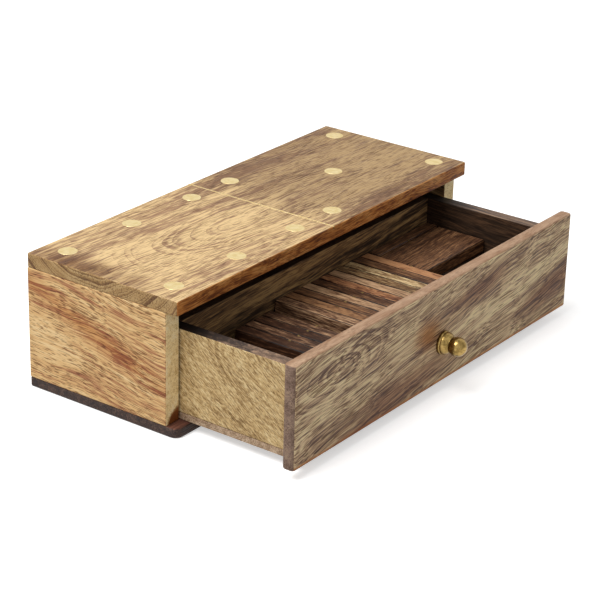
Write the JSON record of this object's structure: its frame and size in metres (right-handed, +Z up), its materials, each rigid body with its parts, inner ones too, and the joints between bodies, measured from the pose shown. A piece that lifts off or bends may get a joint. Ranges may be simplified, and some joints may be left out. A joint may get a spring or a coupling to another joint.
{
  "type": "domino storage box",
  "caption": "Small wooden storage box shaped like a large domino, with brass inlaid pips on its lid and one long drawer that holds a set of wooden dominoes.",
  "frame": {"origin": "centre of the case's underside, on the surface that the box stands on", "axes": "+Z up, +X along the box to the right end of its lid, -Y the way the drawer opens"},
  "size_m": [0.2, 0.1418, 0.0575],
  "materials": {
    "lid_wood": "satin",
    "panel_wood": "satin",
    "base_wood": "satin",
    "front_wood": "satin",
    "drawer_wall_wood": "satin",
    "drawer_inner_wood": "satin",
    "knob_brass": "polished",
    "inlay_brass": "polished",
    "screw_steel": "brushed",
    "domino_wood_dark": "satin",
    "domino_wood_brown": "satin",
    "domino_wood_red": "satin",
    "domino_wood_gold": "satin"
  },
  "bodies": {
    "case": {"lid_board": "lid_wood", "lid_pips": "inlay_brass", "lid_line": "inlay_brass", "left_panel": "panel_wood", "right_panel": "panel_wood", "back_panel": "panel_wood", "base_board": "base_wood"},
    "drawer": {"drawer_front": "front_wood", "drawer_left": "drawer_wall_wood", "drawer_right": "drawer_wall_wood", "drawer_back": "drawer_inner_wood", "drawer_bottom": "drawer_inner_wood", "knob": "knob_brass", "knob_screw": "screw_steel", "domino_pips": "inlay_brass", "domino_lines": "inlay_brass", "domino_0_0": "domino_wood_dark", "domino_0_1": "domino_wood_brown", "domino_0_2": "domino_wood_dark", "domino_0_3": "domino_wood_brown", "domino_0_4": "domino_wood_brown", "domino_0_5": "domino_wood_dark", "domino_0_6": "domino_wood_dark", "domino_1_1": "domino_wood_brown", "domino_1_2": "domino_wood_dark", "domino_1_3": "domino_wood_red", "domino_1_4": "domino_wood_brown", "domino_1_5": "domino_wood_gold", "domino_1_6": "domino_wood_gold", "domino_2_2": "domino_wood_dark", "domino_2_3": "domino_wood_red", "domino_2_4": "domino_wood_brown", "domino_2_5": "domino_wood_brown", "domino_2_6": "domino_wood_dark", "domino_3_3": "domino_wood_dark", "domino_3_4": "domino_wood_dark", "domino_3_5": "domino_wood_brown", "domino_3_6": "domino_wood_dark", "domino_4_4": "domino_wood_brown", "domino_4_5": "domino_wood_dark", "domino_4_6": "domino_wood_brown", "domino_5_5": "domino_wood_dark", "domino_5_6": "domino_wood_brown", "domino_6_6": "domino_wood_dark"}
  },
  "joints": [
    {"name": "drawer_slide", "type": "slide", "parent": "case", "child": "drawer", "axis": [0, -1, 0], "range_m": [-0.0545, 0.005]}
  ]
}
